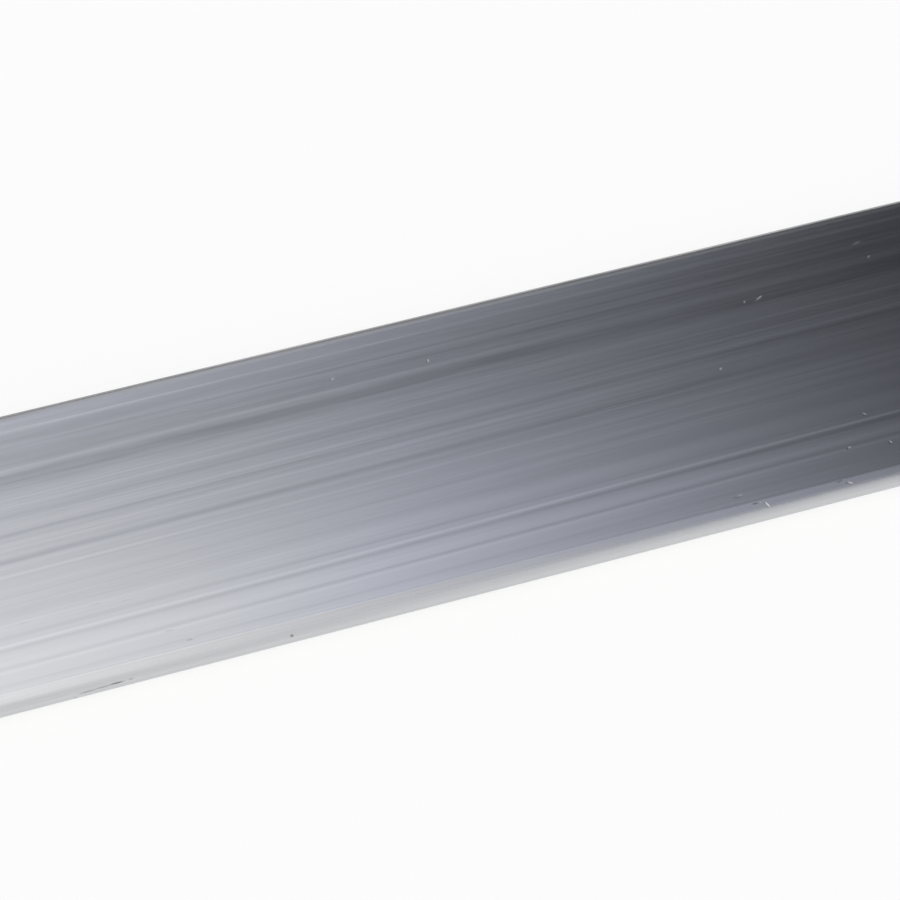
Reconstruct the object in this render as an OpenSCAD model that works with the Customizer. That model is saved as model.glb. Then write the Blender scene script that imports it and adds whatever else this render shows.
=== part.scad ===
// Extruded aluminium flat bar in mill finish, sawn to a stock length.
// The bar lies on a wide face: X runs along its length, Y across its width and Z up.
// The origin is at the middle of the underside.

/* [Section] */
// Width across the wide faces
bar_width = 50; // [20:1:150]
// Thickness between the two wide faces
bar_thickness = 5; // [4:0.5:12]
// Radius of the four long corners
corner_radius = 2; // [0.2:0.1:2.5]

/* [Length] */
// Stock length between the two sawn ends
bar_length = 1000; // [100:10:6000]
// Width of the 45 degree bevel that breaks the sawn edges
end_bevel = 0.4; // [0.1:0.05:0.7]

/* [Hidden] */
// Sides of a full circle where a round is drawn
$fn = 96;
// Corner arcs as built: on a thin bar they meet in a full round along each narrow edge
corner = min(corner_radius, bar_thickness / 2);
// Flat left between the corner arcs, across the width and through the thickness
flat_width = bar_width - 2 * corner;
flat_thickness = bar_thickness - 2 * corner;
// The bevel goes round the corner arcs too, so a very small arc limits it
bevel = min(end_bevel, corner / 2);

// Long rectangle along X, centred on the origin, with the four corners bevelled
module bevelled_strip(length, width) {
    end_x = length / 2;
    side_y = width / 2;
    polygon([
        for (quarter = [[1, 1], [-1, 1], [-1, -1], [1, -1]])
            let (
                on_side = [quarter[0] * (end_x - bevel), quarter[1] * side_y],
                on_end = [quarter[0] * end_x, quarter[1] * (side_y - bevel)]
            )
            each (quarter[0] * quarter[1] > 0 ? [on_end, on_side] : [on_side, on_end])
    ]);
}

// Slab through the full thickness, as wide as the flats of the wide faces
module face_slab()
    rotate([90, 0, 0])
        linear_extrude(flat_width, center = true)
            bevelled_strip(bar_length, bar_thickness);

// Slab across the full width, as thick as the flats of the narrow edges
module edge_slab()
    linear_extrude(flat_thickness, center = true)
        bevelled_strip(bar_length, bar_width);

// Round rod along X that fills one long corner, turned with the same bevel at its ends
module corner_rod() {
    end_z = bar_length / 2;
    rotate([0, 90, 0])
        rotate_extrude()
            polygon([
                [0, -end_z],
                [corner - bevel, -end_z],
                [corner, -end_z + bevel],
                [corner, end_z - bevel],
                [corner - bevel, end_z],
                [0, end_z]
            ]);
}

// The whole bar: two crossed slabs whose inner corners are filled by tangent rods
module flat_bar()
    color("silver")
        translate([0, 0, bar_thickness / 2])
            union() {
                face_slab();
                if (flat_thickness > 0) edge_slab();
                for (y = [-1, 1], z = [-1, 1])
                    translate([0, y * flat_width / 2, z * flat_thickness / 2])
                        corner_rod();
            }

flat_bar();
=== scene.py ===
import math

import bpy
import numpy as np
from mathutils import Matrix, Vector


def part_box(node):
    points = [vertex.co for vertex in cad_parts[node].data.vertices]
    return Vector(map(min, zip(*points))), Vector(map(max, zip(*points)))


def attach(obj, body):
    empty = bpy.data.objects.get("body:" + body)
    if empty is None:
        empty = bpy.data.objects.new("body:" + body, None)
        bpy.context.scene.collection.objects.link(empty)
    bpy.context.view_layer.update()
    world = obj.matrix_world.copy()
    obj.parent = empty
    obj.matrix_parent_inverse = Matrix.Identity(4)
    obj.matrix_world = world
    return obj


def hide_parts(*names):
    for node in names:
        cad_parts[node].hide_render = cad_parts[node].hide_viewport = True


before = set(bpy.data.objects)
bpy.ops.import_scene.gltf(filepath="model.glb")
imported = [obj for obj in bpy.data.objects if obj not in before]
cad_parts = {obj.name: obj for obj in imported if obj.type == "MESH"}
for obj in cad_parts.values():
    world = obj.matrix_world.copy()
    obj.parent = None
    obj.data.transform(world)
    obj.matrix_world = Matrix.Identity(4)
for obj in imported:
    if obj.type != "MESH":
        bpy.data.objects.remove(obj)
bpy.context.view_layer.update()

# Units, as parts of a metre
MM = 1e-3

# The bar: its box comes from the frame, and its corner radius and end bevel are the part's own
BAR_LOW, BAR_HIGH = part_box("flat_bar")
LENGTH, WIDTH, THICKNESS = BAR_HIGH - BAR_LOW
MIDDLE = (BAR_LOW + BAR_HIGH) / 2
CORNER_RADIUS = 2.0 * MM
END_BEVEL = 0.4 * MM
FLAT_WIDTH = WIDTH - 2 * CORNER_RADIUS
FLAT_HEIGHT = THICKNESS - 2 * CORNER_RADIUS

# How finely the surface is drawn
UPPER_STEP = 0.1 * MM
UNDER_STEP = 0.25 * MM
EDGE_STEP = 0.1 * MM
ARC_STEPS = 18
STATIONS = 122

# Flat layout of the surface, in shares of a square: the sides unrolled from the bottom up to the first
# value, and the two ends side by side in a strip above them
MAP_SIDES = 0.94
MAP_STRIP = (0.955, 0.995)
MAP_END_WIDTH = 0.48
MAP_LEFT_END = 0.01
MAP_RIGHT_END = 0.51

# Die lines that show most. One with a tilt is a wall of a shallow groove or ridge, and one without is
# a band of tone. The first is a dark band of painted shade on the far corner, and the rest lie on the
# upper face.
# Distance from the middle of the bar towards the near edge and width in millimetres, tilt towards the
# near edge in degrees, how much lighter or darker, and growth in strength towards the right end
MAIN_LINES = [
    # Painted shade: this dark band darkens the far corner at its outline
    (-24.3, 0.80, 0.00, -0.42, 0.0),
    (-22.3, 0.90, 0.00, 0.05, 0.0),
    (-21.1, 0.30, 0.40, 0.11, -0.1),
    (-19.7, 1.00, -0.25, -0.04, 0.0),
    (-18.6, 1.80, 0.00, -0.06, 0.0),
    (-16.6, 0.45, -0.25, -0.03, 0.0),
    (-15.8, 1.60, 0.00, -0.06, 0.0),
    (-14.3, 0.50, 0.50, 0.03, -0.3),
    (-13.1, 0.45, -0.50, -0.05, 0.0),
    (-12.6, 2.00, 0.00, -0.12, 0.0),
    (-12.1, 0.70, -0.38, -0.04, 0.0),
    (-10.0, 0.50, 0.25, 0.02, 0.0),
    (-6.6, 0.40, -0.22, -0.02, 0.0),
    (-4.5, 0.55, 0.28, 0.025, 0.5),
    (-3.5, 0.32, -0.55, -0.04, 0.0),
    (-2.8, 0.20, -0.15, -0.02, 0.0),
    (-1.9, 0.35, 0.22, 0.02, 0.3),
    (0.75, 0.42, -0.48, -0.055, -0.4),
    (3.3, 0.25, 0.25, 0.03, 0.0),
    (6.9, 0.30, -0.18, -0.02, 0.0),
    (9.7, 0.90, -0.20, -0.02, 0.0),
    (13.4, 0.20, -0.30, -0.03, 0.0),
    (14.6, 0.17, 0.30, 0.07, 0.8),
    (15.35, 0.32, -0.55, -0.09, 0.7),
    (17.3, 0.50, 0.30, 0.02, 0.4),
    (18.3, 0.20, -0.30, -0.04, 0.0),
    (18.9, 0.25, 0.30, 0.03, 0.0),
    (21.3, 0.30, -0.15, -0.02, 0.0),
    (22.9, 0.25, -0.20, -0.03, 0.0),
]
# Fine die lines all round the section: how many, their least and greatest width, the spread of their
# tilt in degrees and of their tone, and their growth towards the right end
FINE_LINE_COUNT = 260
FINE_LINE_WIDTH = (0.1 * MM, 0.35 * MM)
FINE_LINE_TILT = 0.035
FINE_LINE_TONE = 0.009
FINE_LINE_GROWTH = -0.5
LINE_SEED = 41
# A line's growth is spread over about this length either side of the middle
GROWTH_LENGTH = 60 * MM
# Each line also swells and fades in waves of these lengths in metres and sizes, stretched at random
LINE_WAVES = ((0.9, 0.18), (0.31, 0.16), (0.12, 0.12))
WAVE_STRETCH = (0.8, 1.25)
# The lines of the upper face drift slowly across it: by this much, in waves of this length.
# It sets in over the far half of the face and dies away over this last stretch at the near side
DRIFT = 1.2 * MM
DRIFT_LENGTH = 600 * MM
DRIFT_END = 2 * MM

# Small dents from handling, on the upper face and its near corner: place along and across the bar,
# length and width in millimetres, heading in degrees from the bar's length, and how bright they are or,
# below 0, how dark
NICKS = [
    (53.3, 12.2, 0.6, 0.40, 60, 0.3),
    (55.8, 12.3, 1.8, 0.40, 25, 0.4),
    (75.8, 15.0, 0.9, 0.40, 40, 0.25),
    (74.9, 18.1, 2.0, 0.30, 10, 0.2),
    (45.4, 1.2, 0.8, 0.45, 30, 0.3),
    (64.4, -12.9, 0.9, 0.35, 130, 0.3),
    (66.5, -18.8, 0.9, 0.50, 110, 0.25),
    (59.9, -18.0, 0.9, 0.45, 20, 0.35),
    (57.8, -23.8, 1.2, 0.40, 160, 0.5),
    (56.6, -23.2, 1.5, 0.25, 5, -0.4),
    (44.3, -23.9, 1.3, 0.35, 125, 0.6),
    (42.8, -23.3, 1.6, 0.25, 0, -0.5),
    (40.5, -21.4, 1.6, 0.45, 5, 0.25),
    (1.1, 15.5, 0.7, 0.45, 70, 0.3),
    (-14.4, 16.4, 0.6, 0.35, 20, 0.35),
    (-43.2, -24.2, 0.9, 0.40, 15, 0.15),
    (-46.1, -21.8, 1.2, 0.40, 10, 0.3),
    (-48.8, -19.5, 1.8, 0.30, 5, 0.12),
    (-54.0, -12.7, 1.6, 0.30, 8, 0.15),
    (-58.5, -12.1, 1.5, 0.30, 5, 0.15),
    (-69.6, -12.2, 1.8, 0.30, 5, 0.15),
]
NICK_DEPTH = 0.05 * MM
# Farther than this from the middle of the bar, dents are strewn at random: how far apart they are,
# their radius as a share of that, and how bright they are
LOOSE_NICK_START = 85 * MM
LOOSE_NICK_SPACING = 22 * MM
LOOSE_NICK_RADIUS = 0.025
LOOSE_NICK_SHADE = 0.6
# Dark scuffs on the near edge: place along the bar and up it, length and height in millimetres,
# and how dark they are
SCUFFS = [
    (-64.7, 1.8, 0.8, 0.5, 0.5),
    (-62.6, 2.9, 4.0, 0.7, 0.5),
    (-60.4, 3.05, 3.6, 0.7, 0.45),
    (-58.3, 3.2, 3.2, 0.6, 0.9),
    (-56.1, 3.3, 0.9, 0.8, 0.3),
    (-31.4, 3.7, 0.7, 0.8, 0.8),
]
# A nick or scuff reaches this far through the surface, and fades between these shares of its size
MARK_REACH = 2 * MM
MARK_FADE = (1.0, 0.3)

# Streaks along the bar: their width, length and levels of finer detail, and how much each sways the
# tone and the roughness
STREAKS = {
    "broad": (5 * MM, 400 * MM, 2, 0.02, 0.0),
    "middle": (0.9 * MM, 160 * MM, 3, 0.02, 0.012),
    "hair": (0.17 * MM, 60 * MM, 1, 0.026, 0.008),
    "fibre": (0.13 * MM, 9 * MM, 1, 0.018, 0.005),
    "cloud": (2.5 * MM, 14 * MM, 2, 0.012, 0.0),
}
# Streaks of this width, length and detail make the tone of the die lines stronger and weaker by this much
BREAKS = (1.2 * MM, 22 * MM, 2)
BREAK_SIZE = 0.5
# Depth of the hairs' relief
HAIR_DEPTH = 4e-5 * MM
# Nearly all values of a noise lie in this range
NOISE_RANGE = (0.25, 0.75)

# The metal: extruded, laid bare by a dent or a saw, and the near-black tone of its dark marks
ALUMINIUM = (0.675, 0.68, 0.69)
BARE_ALUMINIUM = (0.80, 0.80, 0.81)
DARK_MARK_TONE = (0.12, 0.12, 0.125)
DARK_MARK_COVER = 0.8
# Roughness of the wide faces, and what dents and edges add to it. The edges' share comes in as the
# surface turns from level, between these upright parts of its normal
ROUGHNESS = 0.18
NICK_ROUGHNESS = 0.3
EDGE_ROUGHNESS = 0.45
EDGE_TURN = (0.99, 0.5)
# Highlights are drawn out across the grain: by how much, and their turn from it as a part of a circle
ANISOTROPY = 0.4
ANISOTROPY_TURN = 0.25

# Sawn ends: centre of the saw blade, the marks that it leaves, the grain of the cut, and the tone and
# roughness that these give
BLADE_CENTRE = Vector((0, 20 * MM, -150 * MM))
SAW_MARK_SCALE = 700.0
SAW_MARK_WAVER = 1.5
SAW_MARK_DETAIL = 2.0
SAW_MARK_DEPTH = 0.02 * MM
SAW_GRAIN_SCALE = 900.0
SAW_GRAIN_DETAIL = 3.0
SAW_SHADE_RANGE = (0.1, 0.6)
SAW_GRAIN_RANGE = (0.3, 0.7)
SAWN_TONE = (0.76, 0.96)
SAWN_ROUGHNESS = (0.28, 0.42)

# Camera: fitted to the two long outlines of the photograph, with its square frame
CAMERA_AZIMUTH = -16.0
CAMERA_ELEVATION = 60.0
CAMERA_DISTANCE = 370.1 * MM
CAMERA_LENS = 94.94
CAMERA_SENSOR = 36.0
CAMERA_CLIP = 10 * MM
CAMERA_AIM = Vector((0, -1.23 * MM, THICKNESS))

# Floor: half its width, its own colour, and the glow that makes it up to white where it is seen
FLOOR_REACH = 30.0
FLOOR_COLOUR = (0.36, 0.355, 0.34, 1)
FLOOR_GLOW = 0.725

# The room by direction: X to the right, Y to the far side and Z up, as parts of a unit vector.
# From the far side to the near it has a far wall, two strips of ceiling, and the near room, which takes
# in what is overhead. Each has two places along X and its brightness at these
FAR_WALL = ((0.45, -0.02), (0.02, 0.60))
FAR_STRIP = ((0.22, -0.50), (0.01, 0.95))
NEAR_STRIP = ((0.425, -0.04), (0.025, 1.21))
NEAR_ROOM = ((0.46, -0.25), (0.145, 1.26))
# Where these give way to each other along Y. The seam between the strips is slanted against X
FAR_SEAM = (0.51, 0.58)
STRIP_SEAM = (0.47, 0.48)
STRIP_SLANT = 0.107
NEAR_SEAM = (0.42, 0.27)
# The walls beyond the bar's two ends: where they begin along X, and their brightness. The left one has
# two places along Y and its brightness at these
RIGHT_SEAM = (0.52, 0.78)
RIGHT_WALL = 0.60
LEFT_SEAM = (-0.28, -0.60)
LEFT_WALL = ((0.1, -0.3), (0.60, 0.95))
# Low down, along Z, the near room goes on, and the far side, along Y, is dark
LOW_SEAM = (0.25, 0.0)
LOW_FAR_SEAM = (-0.2, 0.3)
LOW_FAR_LEVEL = 0.08
# The room's light is tinted, but plain where it is bright, in the near room from a lower level on,
# and, in part, on the far wall, by place along Y
COOL_TINT = (0.955, 0.995, 1.165)
PLAIN_TINT = (1, 1, 1)
BRIGHT_PLAIN = (0.85, 1.25)
NEAR_PLAIN = (0.35, 0.85)
FAR_PLAIN = ((0.58, 0.70), (0, 0.7))

# Lamp: azimuth and elevation of where it stands, and its width, in degrees
KEY_DIRECTION = (-97, 56)
KEY_SPREAD = 46
KEY_STRENGTH = 0.20


def direction(azimuth, elevation):
    """Unit vector; azimuth turns from +Y towards +X, both in degrees."""
    turn, lift = math.radians(azimuth), math.radians(elevation)
    return Vector((math.sin(turn) * math.cos(lift), math.cos(turn) * math.cos(lift), math.sin(lift)))


# Section and surface of the bar


def section_outline():
    """The rounded section, walked from the far end of the upper flat towards the near edge and round.

    Returns the places and the outward normals in the YZ plane, and the distance walked to each place
    and, last, all the way round.
    """
    sides = [
        (90, FLAT_WIDTH, THICKNESS / 2, UPPER_STEP),
        (180, FLAT_HEIGHT, WIDTH / 2, EDGE_STEP),
        (270, FLAT_WIDTH, THICKNESS / 2, UNDER_STEP),
        (360, FLAT_HEIGHT, WIDTH / 2, EDGE_STEP),
    ]
    places, normals, walked = [], [], []
    travel = 0.0
    for angle, flat, reach, step in sides:
        normal = np.array([math.cos(math.radians(angle)), math.sin(math.radians(angle))])
        along = np.array([-normal[1], normal[0]])
        count = round(flat / step)
        for k in range(count):
            places.append(normal * reach + along * flat * (k / count - 0.5))
            normals.append(normal)
            walked.append(travel + flat * k / count)
        travel += flat
        corner = normal * (reach - CORNER_RADIUS) + along * flat / 2
        for k in range(ARC_STEPS):
            turn = math.radians(angle + 90 * k / ARC_STEPS)
            outward = np.array([math.cos(turn), math.sin(turn)])
            places.append(corner + outward * CORNER_RADIUS)
            normals.append(outward)
            walked.append(travel + CORNER_RADIUS * math.radians(90 * k / ARC_STEPS))
        travel += CORNER_RADIUS * math.pi / 2
    places = np.array(places) + [MIDDLE.y, MIDDLE.z]
    return places, np.array(normals), np.array(walked + [travel])


def slow_change(rng, stations, count):
    """One gentle curve along the bar for each line, around 1, made of a few long waves."""
    curve = np.ones((count, len(stations)))
    for length, size in LINE_WAVES:
        phase = rng.uniform(0, 2 * math.pi, (count, 1))
        stretch = rng.uniform(*WAVE_STRETCH, (count, 1))
        curve += size * np.sin(2 * math.pi * stations[None] * stretch / length + phase)
    return curve


def die_lines(walked, stations):
    """Height of the die lines in metres and their tone, which takes in the painted shade of the far
    corner, for each place of the outline and station.
    """
    rng = np.random.default_rng(LINE_SEED)
    around = walked[-1]
    main = np.array(MAIN_LINES) * [MM, MM, 1, 1, 1] + [FLAT_WIDTH / 2, 0, 0, 0, 0]
    fine = np.stack([
        rng.uniform(0, around, FINE_LINE_COUNT),
        rng.uniform(*FINE_LINE_WIDTH, FINE_LINE_COUNT),
        rng.normal(0, FINE_LINE_TILT, FINE_LINE_COUNT),
        rng.normal(0, FINE_LINE_TONE, FINE_LINE_COUNT),
        np.full(FINE_LINE_COUNT, FINE_LINE_GROWTH),
    ], 1)
    centre, width, tilt, tone, growth = np.concatenate([main, fine]).T[:, :, None]
    change = slow_change(rng, stations, len(centre)) * (1 + growth * np.tanh(stations / GROWTH_LENGTH))
    centre = centre % around
    away = (walked[None, :-1] - centre) / width
    # Each wall's step is given back evenly all the way round, so that the section closes
    step = -np.tan(np.radians(tilt)) * width
    wall = step * np.tanh(away)
    closing = step * 2 * walked[None, :-1] / around
    height = (wall - closing).T @ change
    return height - height.max(), (tone * np.exp(-away ** 2)).T @ change


def die_drift(walked, stations):
    """How far each place of the upper face is slid towards the far edge; 0 on the other faces."""
    stops = [0, FLAT_WIDTH / 2, FLAT_WIDTH - DRIFT_END, FLAT_WIDTH]
    share = np.interp(walked[:-1], stops, [0, 1, 1, 0])
    return np.outer(DRIFT * np.sin(2 * math.pi * stations / DRIFT_LENGTH), share)


def bar_mesh():
    """The bar as rings of its section along X, with die lines in relief and bevelled, closed ends."""
    places, normals, walked = section_outline()
    inner = LENGTH / 2 - END_BEVEL
    stations = np.linspace(-inner, inner, STATIONS)
    height, tone = die_lines(walked, stations)
    drift = die_drift(walked, stations)
    rings = places[None] + normals[None] * height.T[:, :, None]
    rings[:, :, 0] += drift
    ends = rings[[0, -1]] - normals[None] * END_BEVEL
    rings = np.concatenate([ends[:1], rings, ends[1:]])
    along = np.concatenate([[-LENGTH / 2], stations, [LENGTH / 2]]) + MIDDLE.x
    ring_count, size = rings.shape[:2]
    vertices = np.concatenate([np.repeat(along, size)[:, None], rings.reshape(-1, 2)], 1)

    ring, place = np.meshgrid(np.arange(ring_count - 1), np.arange(size), indexing="ij")
    ring, place = ring.ravel(), place.ravel()
    onward = (place + 1) % size
    quads = np.stack([ring * size + place, ring * size + onward,
                      (ring + 1) * size + onward, (ring + 1) * size + place], 1)
    left_cap = list(range(size - 1, -1, -1))
    right_cap = list(range((ring_count - 1) * size, ring_count * size))
    mesh = bpy.data.meshes.new("extruded_bar")
    mesh.from_pydata(vertices.tolist(), [], quads.tolist() + [left_cap, right_cap])

    is_end = (ring == 0) | (ring == ring_count - 2)
    mesh.polygons.foreach_set("material_index", np.append(is_end, [True, True]).astype(np.int32))
    mesh.polygons.foreach_set("use_smooth", np.append(np.ones(len(quads), bool), [False, False]))
    mark_sharp_rings(mesh, size, (0, 1, ring_count - 2, ring_count - 1))
    # The first attribute holds the die lines' tone together with the far corner's painted shade
    for name, values in (("die_tone_and_corner_shade", tone.T), ("die_drift", drift)):
        values = np.concatenate([values[:1], values, values[-1:]])
        mesh.attributes.new(name, "FLOAT", "POINT").data.foreach_set("value", values.ravel())
    add_map(mesh, along, walked, ring, place, rings[0], rings[-1])
    mesh.update()
    return mesh


def mark_sharp_rings(mesh, size, sharp_rings):
    """Keeps the edges of the end bevels crisp."""
    pairs = np.zeros(len(mesh.edges) * 2, np.int32)
    mesh.edges.foreach_get("vertices", pairs)
    first, second = pairs.reshape(-1, 2).T // size
    sharp = (first == second) & np.isin(first, sharp_rings)
    mesh.attributes.new("sharp_edge", "BOOLEAN", "EDGE").data.foreach_set("value", sharp)


def add_map(mesh, along, walked, ring, place, left_end, right_end):
    """Lays the surface out flat: the sides over most of a square, the two ends in a strip above."""
    across = MAP_SIDES * walked / walked[-1]
    onward = (along - along[0]) / (along[-1] - along[0])
    sides = np.stack([onward[ring], across[place], onward[ring], across[place + 1],
                      onward[ring + 1], across[place + 1], onward[ring + 1], across[place]], 1)

    def end(points, start):
        share = (points - [BAR_LOW.y, BAR_LOW.z]) / [WIDTH, THICKNESS]
        return share * [MAP_END_WIDTH, MAP_STRIP[1] - MAP_STRIP[0]] + [start, MAP_STRIP[0]]

    ends = [end(left_end[::-1], MAP_LEFT_END), end(right_end, MAP_RIGHT_END)]
    layout = np.concatenate([sides.ravel()] + [points.ravel() for points in ends])
    mesh.uv_layers.new(name="OFBake").uv.foreach_set("vector", layout.astype(np.float32))


# Building blocks of the materials


def add_node(tree, kind, inputs=None, **settings):
    """Adds a node, sets it up, and feeds its inputs with values or with other nodes' outputs."""
    made = tree.nodes.new(kind)
    for name, value in settings.items():
        setattr(made, name, value)
    for key, value in (inputs or {}).items():
        if isinstance(value, bpy.types.NodeSocket):
            tree.links.new(value, made.inputs[key])
        else:
            made.inputs[key].default_value = value
    return made


def calculate(tree, operation, first, second=0.0):
    """The result of one sum on two numbers."""
    return add_node(tree, "ShaderNodeMath", {0: first, 1: second}, operation=operation).outputs[0]


def combine(tree, operation, first, second):
    """The result of one sum on two vectors."""
    return add_node(tree, "ShaderNodeVectorMath", {0: first, 1: second}, operation=operation).outputs[0]


def scale_colour(tree, colour, level):
    """A colour times a number."""
    inputs = {0: colour, "Scale": level}
    return add_node(tree, "ShaderNodeVectorMath", inputs, operation="SCALE").outputs[0]


def shift_range(tree, value, source, target, smooth=True):
    """value moved from one range to another and held inside it."""
    kind = "SMOOTHSTEP" if smooth else "LINEAR"
    inputs = {"Value": value, "From Min": source[0], "From Max": source[1],
              "To Min": target[0], "To Max": target[1]}
    return add_node(tree, "ShaderNodeMapRange", inputs, interpolation_type=kind).outputs["Result"]


def rise(tree, value, stretch):
    """0 before a stretch of values, 1 after it."""
    return shift_range(tree, value, stretch, (0, 1))


def fade(tree, share, first, second):
    """A number: first where share is 0, second where it is 1."""
    return add_node(tree, "ShaderNodeMix", {0: share, 2: first, 3: second}).outputs[0]


def blend_colours(tree, share, first, second):
    """A colour: first where share is 0, second where it is 1."""
    made = add_node(tree, "ShaderNodeMix", {"Factor": share}, data_type="RGBA")
    for socket, colour in ((made.inputs[6], first), (made.inputs[7], second)):
        if isinstance(colour, bpy.types.NodeSocket):
            tree.links.new(colour, socket)
        else:
            socket.default_value = (*colour[:3], 1)
    return made.outputs[2]


def strongest(tree, masks):
    """The largest of several masks."""
    result = masks[0]
    for mask in masks[1:]:
        result = calculate(tree, "MAXIMUM", result, mask)
    return result


def add_layers(tree, start, layers):
    """start plus several layers, each taken by its share."""
    result = start
    for layer, share in layers:
        result = calculate(tree, "ADD", result, calculate(tree, "MULTIPLY", layer, share))
    return result


def new_material(name):
    """A material with its node tree and its main shader."""
    material = bpy.data.materials.new(name)
    material.use_nodes = True
    return material, material.node_tree, material.node_tree.nodes["Principled BSDF"]


# Marks on the metal


def streaks(tree, place, across, along, detail):
    """Noise drawn out along the bar, from -1 to 1."""
    scale = (1 / along, 1 / across, 1 / across)
    vector = add_node(tree, "ShaderNodeMapping", {"Vector": place, "Scale": scale}).outputs[0]
    noise = add_node(tree, "ShaderNodeTexNoise", {"Vector": vector, "Scale": 1.0, "Detail": detail})
    return shift_range(tree, noise.outputs["Fac"], NOISE_RANGE, (-1, 1), smooth=False)


def spot(tree, place, centre, size, heading=0.0):
    """1 at the middle of a soft oval spot, 0 outside it; all in metres, heading in degrees."""
    moved = combine(tree, "SUBTRACT", place, centre)
    turn = {"Vector": moved, "Angle": -math.radians(heading)}
    turned = add_node(tree, "ShaderNodeVectorRotate", turn, rotation_type="Z_AXIS").outputs[0]
    shrunk = combine(tree, "DIVIDE", turned, size)
    reach = add_node(tree, "ShaderNodeVectorMath", {0: shrunk}, operation="LENGTH").outputs["Value"]
    return rise(tree, reach, MARK_FADE)


def nick_mask(tree, place, sign):
    """The bright dents of the upper face, or with sign -1 the dark ones."""
    masks = []
    for along, across, length, width, heading, shade in NICKS:
        if shade * sign > 0:
            centre = (along * MM, across * MM, BAR_HIGH.z)
            size = (length / 2 * MM, width / 2 * MM, MARK_REACH)
            mark = spot(tree, place, centre, size, heading)
            masks.append(calculate(tree, "MULTIPLY", mark, abs(shade)))
    return strongest(tree, masks)


def loose_nicks(tree, place):
    """Bright dents strewn over the bar, all but its middle."""
    scale = tuple(1 / LOOSE_NICK_SPACING for _ in range(3))
    vector = add_node(tree, "ShaderNodeMapping", {"Vector": place, "Scale": scale}).outputs[0]
    cells = add_node(tree, "ShaderNodeTexVoronoi", {"Vector": vector, "Scale": 1.0, "Randomness": 1.0})
    fading = (LOOSE_NICK_RADIUS, LOOSE_NICK_RADIUS / 3)
    mark = shift_range(tree, cells.outputs["Distance"], fading, (0, LOOSE_NICK_SHADE))
    along = add_node(tree, "ShaderNodeSeparateXYZ", {0: place}).outputs["X"]
    outside = calculate(tree, "GREATER_THAN", calculate(tree, "ABSOLUTE", along), LOOSE_NICK_START)
    return calculate(tree, "MULTIPLY", mark, outside)


def scuff_mask(tree, place):
    """The dark marks of the near edge."""
    masks = []
    for along, up, length, height, shade in SCUFFS:
        centre = (along * MM, BAR_LOW.y, up * MM)
        mark = spot(tree, place, centre, (length / 2 * MM, MARK_REACH, height / 2 * MM))
        masks.append(calculate(tree, "MULTIPLY", mark, shade))
    return strongest(tree, masks)


def drifted_place(tree, place):
    """Where each point of the surface was before the die lines' drift."""
    drift = add_node(tree, "ShaderNodeAttribute", attribute_name="die_drift").outputs["Fac"]
    sideways = add_node(tree, "ShaderNodeCombineXYZ", {"Y": drift}).outputs[0]
    return combine(tree, "SUBTRACT", place, sideways)


# Materials


def mill_colour(tree, lined, drawn, bright, dark):
    """Colour of the extruded metal: die lines that come and go, painted shade on the far corner, streaks,
    bare dents and dark marks.
    """
    # Tone of the die lines, with the painted shade that darkens the far corner
    die_tone_and_corner_shade = add_node(tree, "ShaderNodeAttribute", attribute_name="die_tone_and_corner_shade").outputs["Fac"]
    breaks = streaks(tree, lined, *BREAKS)
    lines = calculate(tree, "MULTIPLY", die_tone_and_corner_shade, add_layers(tree, 1.0, [(breaks, BREAK_SIZE)]))
    layers = [(drawn[name], sway) for name, (_, _, _, sway, _) in STREAKS.items()]
    metal = scale_colour(tree, ALUMINIUM, add_layers(tree, 1.0, [(lines, 1.0)] + layers))
    nicked = blend_colours(tree, bright, metal, BARE_ALUMINIUM)
    # The dark nicks and scuffs blend the metal towards a near-black tone
    return blend_colours(tree, calculate(tree, "MULTIPLY", dark, DARK_MARK_COVER), nicked, DARK_MARK_TONE)


def mill_roughness(tree, drawn, bright):
    """Roughness of the extruded metal: more on the edges and in dents, and swayed by the streaks."""
    normal = add_node(tree, "ShaderNodeNewGeometry").outputs["Normal"]
    upright = add_node(tree, "ShaderNodeSeparateXYZ", {0: normal}).outputs["Z"]
    level = calculate(tree, "ABSOLUTE", upright)
    on_edge = shift_range(tree, level, EDGE_TURN, (0.0, EDGE_ROUGHNESS))
    layers = [(drawn[name], sway) for name, (_, _, _, _, sway) in STREAKS.items() if sway]
    start = calculate(tree, "ADD", on_edge, ROUGHNESS)
    return add_layers(tree, start, layers + [(bright, NICK_ROUGHNESS)])


def mill_relief(tree, hair, hollows):
    """Normal of the extruded metal, with fine hairs and hollow dents."""
    grooves = add_node(tree, "ShaderNodeBump", {"Height": hair, "Strength": 1.0, "Distance": HAIR_DEPTH})
    inputs = {"Height": hollows, "Strength": 1.0, "Distance": NICK_DEPTH, "Normal": grooves.outputs[0]}
    return add_node(tree, "ShaderNodeBump", inputs, invert=True).outputs[0]


def mill_finish():
    """Bare extruded aluminium: lengthwise streaks of tone and gloss, nicks and scuffs."""
    material, tree, shader = new_material("mill_aluminium")
    place = add_node(tree, "ShaderNodeTexCoord").outputs["Object"]
    lined = drifted_place(tree, place)
    drawn = {name: streaks(tree, lined, *values[:3]) for name, values in STREAKS.items()}
    bright = strongest(tree, [nick_mask(tree, place, 1), loose_nicks(tree, place)])
    dark = strongest(tree, [nick_mask(tree, place, -1), scuff_mask(tree, place)])
    grain = add_node(tree, "ShaderNodeCombineXYZ", {"X": 1.0}).outputs[0]
    tree.links.new(mill_colour(tree, lined, drawn, bright, dark), shader.inputs["Base Color"])
    tree.links.new(mill_roughness(tree, drawn, bright), shader.inputs["Roughness"])
    hollows = strongest(tree, [bright, dark])
    tree.links.new(mill_relief(tree, drawn["hair"], hollows), shader.inputs["Normal"])
    tree.links.new(grain, shader.inputs["Tangent"])
    shader.inputs["Metallic"].default_value = 1.0
    shader.inputs["Anisotropic"].default_value = ANISOTROPY
    shader.inputs["Anisotropic Rotation"].default_value = ANISOTROPY_TURN
    return material


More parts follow.
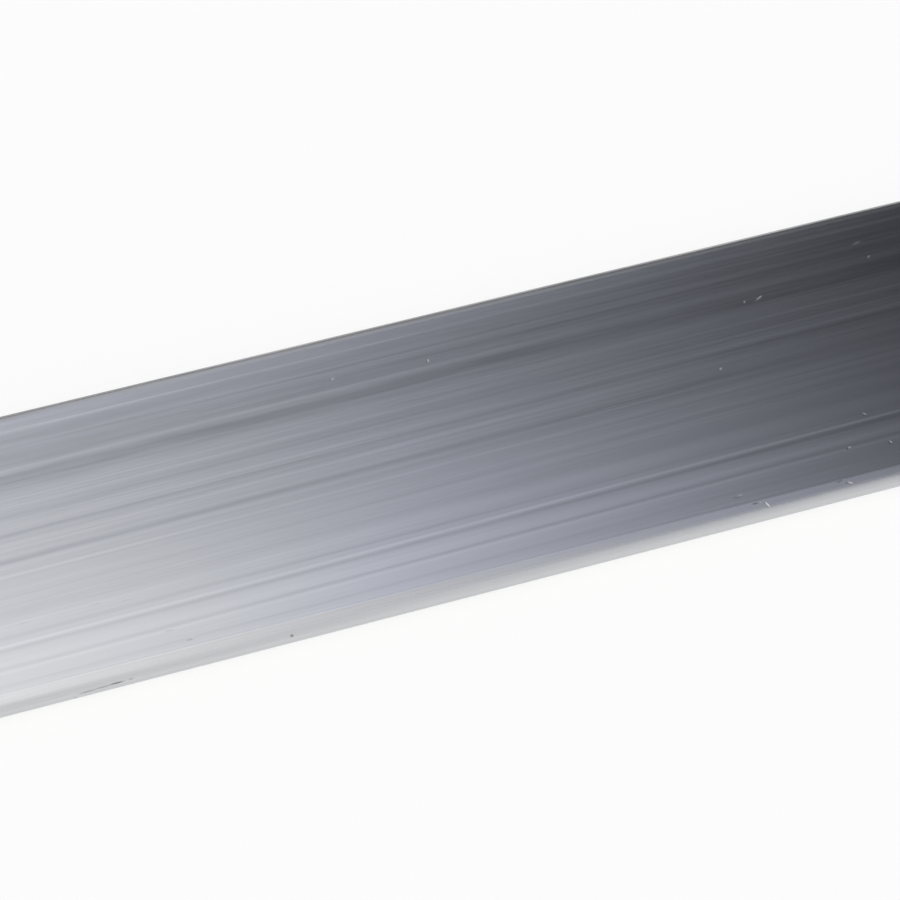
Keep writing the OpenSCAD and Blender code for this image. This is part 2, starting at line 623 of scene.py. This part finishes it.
def sawn_finish():
    """The cut ends: brighter metal with the curved marks of a saw blade."""
    material, tree, shader = new_material("sawn_aluminium")
    place = add_node(tree, "ShaderNodeTexCoord").outputs["Object"]
    from_blade = {"Vector": place, "Location": -BLADE_CENTRE}
    blade = add_node(tree, "ShaderNodeMapping", from_blade).outputs[0]
    marks = {"Vector": blade, "Scale": SAW_MARK_SCALE,
             "Distortion": SAW_MARK_WAVER, "Detail": SAW_MARK_DETAIL}
    rings = add_node(tree, "ShaderNodeTexWave", marks, wave_type="RINGS", rings_direction="X")
    grain = {"Vector": place, "Scale": SAW_GRAIN_SCALE, "Detail": SAW_GRAIN_DETAIL}
    noise = add_node(tree, "ShaderNodeTexNoise", grain).outputs["Fac"]
    shade = calculate(tree, "MULTIPLY", rings.outputs["Fac"], noise)
    tone = shift_range(tree, shade, SAW_SHADE_RANGE, SAWN_TONE, smooth=False)
    tree.links.new(scale_colour(tree, BARE_ALUMINIUM, tone), shader.inputs["Base Color"])
    gloss = shift_range(tree, noise, SAW_GRAIN_RANGE, SAWN_ROUGHNESS, smooth=False)
    tree.links.new(gloss, shader.inputs["Roughness"])
    depth = {"Height": shade, "Strength": 1.0, "Distance": SAW_MARK_DEPTH}
    relief = add_node(tree, "ShaderNodeBump", depth).outputs[0]
    tree.links.new(relief, shader.inputs["Normal"])
    shader.inputs["Metallic"].default_value = 1.0
    return material


def floor_finish():
    """Matt floor, made up to white where it is looked at or mirrored; it keeps the bar's shadow."""
    material, tree, shader = new_material("floor_white")
    path = add_node(tree, "ShaderNodeLightPath").outputs
    seen = strongest(tree, [path["Is Camera Ray"], path["Is Glossy Ray"], path["Is Transmission Ray"]])
    glow = calculate(tree, "MULTIPLY", seen, FLOOR_GLOW)
    tree.links.new(glow, shader.inputs["Emission Strength"])
    material.cycles.emission_sampling = "NONE"
    shader.inputs["Emission Color"].default_value = (1, 1, 1, 1)
    shader.inputs["Base Color"].default_value = FLOOR_COLOUR
    shader.inputs["Roughness"].default_value = 1.0
    shader.inputs["Specular IOR Level"].default_value = 0.0
    return material


# The bar, the floor, the light and the camera


def add_object(name, data):
    """Links a new object to the scene."""
    made = bpy.data.objects.new(name, data)
    bpy.context.scene.collection.objects.link(made)
    return made


def add_bar():
    """The finished bar, which stands for the part's solid."""
    bar = add_object("extruded_bar", bar_mesh())
    bar.data.materials.append(mill_finish())
    bar.data.materials.append(sawn_finish())
    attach(bar, "root")
    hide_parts("flat_bar")


def add_floor():
    """A wide flat floor under the bar."""
    quarters = ((-1, -1), (1, -1), (1, 1), (-1, 1))
    corners = [(x * FLOOR_REACH, y * FLOOR_REACH, BAR_LOW.z) for x, y in quarters]
    mesh = bpy.data.meshes.new("floor")
    mesh.from_pydata(corners, [], [(0, 1, 2, 3)])
    mesh.materials.append(floor_finish())
    add_object("floor", mesh)


def room_light(tree, x, y, z):
    """Colour of the room in each direction."""
    slanted = calculate(tree, "ADD", y, calculate(tree, "MULTIPLY", x, STRIP_SLANT))
    near_strip = shift_range(tree, x, *NEAR_STRIP)
    far_strip = shift_range(tree, x, *FAR_STRIP)
    level = fade(tree, rise(tree, slanted, STRIP_SEAM), near_strip, far_strip)
    level = fade(tree, rise(tree, y, FAR_SEAM), level, shift_range(tree, x, *FAR_WALL))
    near_room = shift_range(tree, x, *NEAR_ROOM)
    near_share = rise(tree, y, NEAR_SEAM)
    level = fade(tree, near_share, level, near_room)
    level = fade(tree, rise(tree, x, RIGHT_SEAM), level, RIGHT_WALL)
    low_room = fade(tree, rise(tree, y, LOW_FAR_SEAM), near_room, LOW_FAR_LEVEL)
    level = fade(tree, rise(tree, z, LOW_SEAM), level, low_room)
    level = fade(tree, rise(tree, x, LEFT_SEAM), level, shift_range(tree, y, *LEFT_WALL))
    near_plain = calculate(tree, "MULTIPLY", near_share, rise(tree, level, NEAR_PLAIN))
    far_plain = shift_range(tree, y, *FAR_PLAIN)
    plain = strongest(tree, [rise(tree, level, BRIGHT_PLAIN), near_plain, far_plain])
    return scale_colour(tree, blend_colours(tree, plain, COOL_TINT, PLAIN_TINT), level)


def add_sky():
    """A soft room: brightest overhead towards the left, dark towards the right, with grey end walls."""
    world = bpy.data.worlds.new("studio")
    bpy.context.scene.world = world
    world.use_nodes = True
    tree = world.node_tree
    way = add_node(tree, "ShaderNodeTexCoord").outputs["Generated"]
    axes = add_node(tree, "ShaderNodeSeparateXYZ", {0: way}).outputs
    room = room_light(tree, axes["X"], axes["Y"], axes["Z"])
    tree.links.new(room, tree.nodes["Background"].inputs["Color"])


def add_key_light():
    """A weak, wide, soft light from high on the left."""
    lamp = bpy.data.lights.new("key", "SUN")
    lamp.angle = math.radians(KEY_SPREAD)
    lamp.energy = KEY_STRENGTH
    key = add_object("key", lamp)
    key.rotation_euler = direction(*KEY_DIRECTION).to_track_quat("Z", "Y").to_euler()


def add_camera():
    """The photograph's view of the middle of the bar."""
    lens = bpy.data.cameras.new("camera")
    lens.lens = CAMERA_LENS
    lens.sensor_width = CAMERA_SENSOR
    lens.sensor_fit = "HORIZONTAL"
    lens.clip_start = CAMERA_CLIP
    camera = add_object("camera", lens)
    back = direction(180 - CAMERA_AZIMUTH, CAMERA_ELEVATION)
    camera.location = CAMERA_AIM + back * CAMERA_DISTANCE
    camera.rotation_mode = "QUATERNION"
    camera.rotation_quaternion = (-back).to_track_quat("-Z", "Y")
    bpy.context.scene.camera = camera


add_camera()
add_bar()
add_floor()
add_sky()
add_key_light()
bpy.context.scene.view_settings.view_transform = "Standard"
